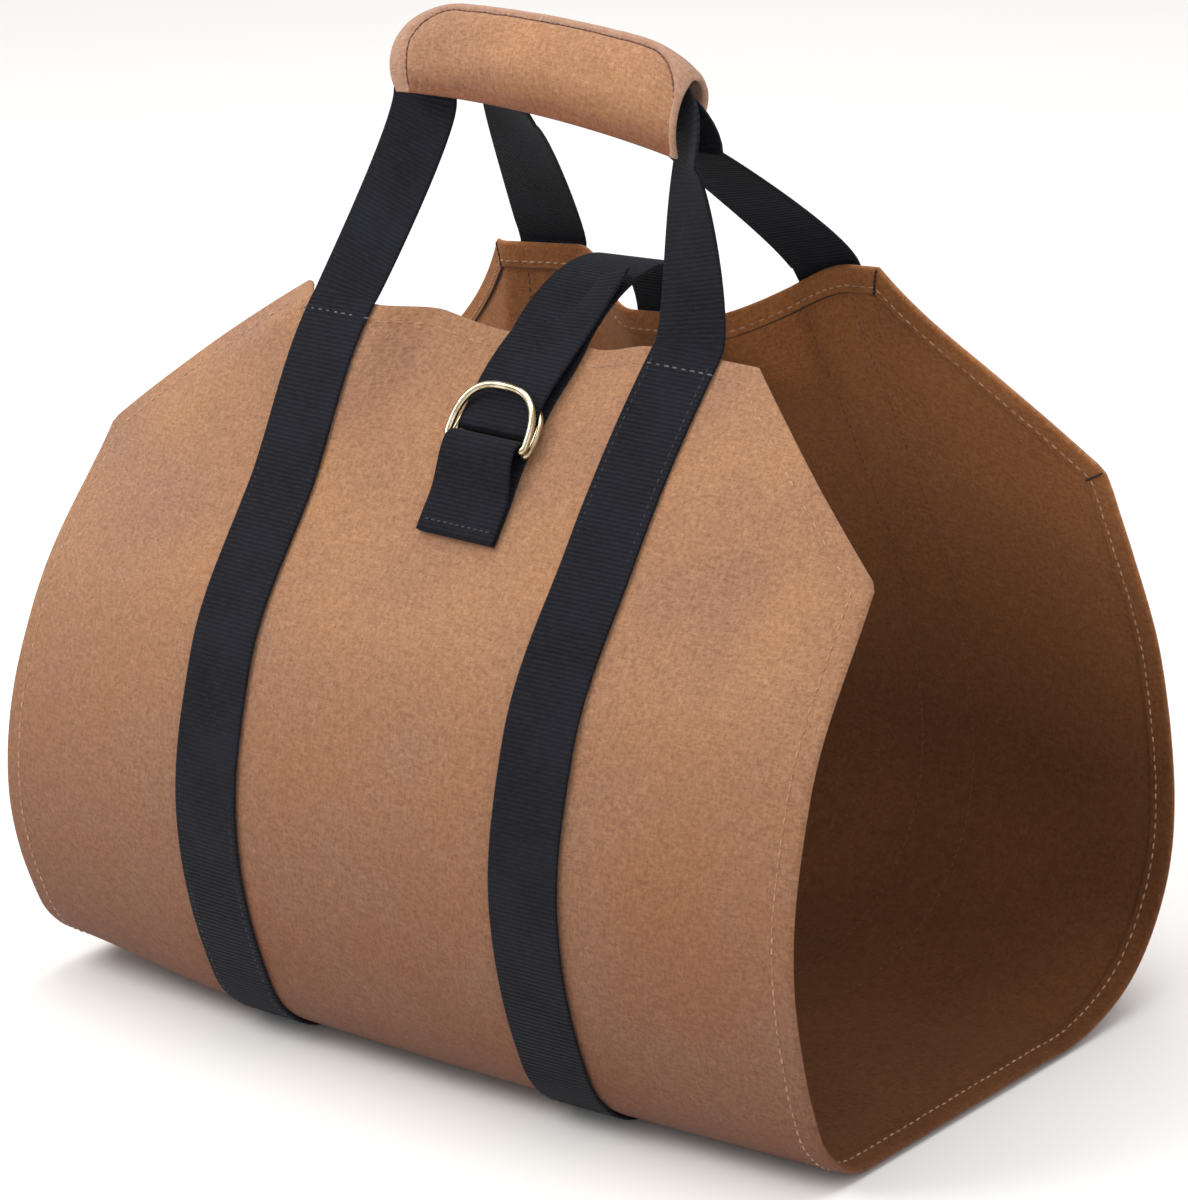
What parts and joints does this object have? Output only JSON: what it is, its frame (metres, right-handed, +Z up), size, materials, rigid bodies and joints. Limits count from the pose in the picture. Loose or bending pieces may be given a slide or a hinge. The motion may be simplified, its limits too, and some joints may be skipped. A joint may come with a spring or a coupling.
{
  "type": "log carrier",
  "caption": "Canvas log carrier in its loaded sling shape, with dark webbing loops, a padded handle wrap and a buckled top strap.",
  "frame": {"origin": "bottom middle of the bounding box, on the surface the carrier stands on", "axes": "+X along the carrier from one open end to the other, +Z up, -Y the side with the rings"},
  "size_m": [0.49, 0.3308, 0.49],
  "materials": {
    "canvas": "waxed cotton canvas, matt and mottled",
    "wrap_canvas": "waxed cotton canvas, padded",
    "webbing": "ribbed cotton webbing, matt",
    "ring_wire": "satin pale brass wire"
  },
  "bodies": {
    "root": {"canvas_body": "canvas", "handle_wrap": "wrap_canvas", "front_webbing": "webbing", "back_webbing": "webbing", "closure_strap": "webbing", "ring_tab": "webbing", "lower_d_ring": "ring_wire", "upper_d_ring": "ring_wire"}
  },
  "joints": []
}
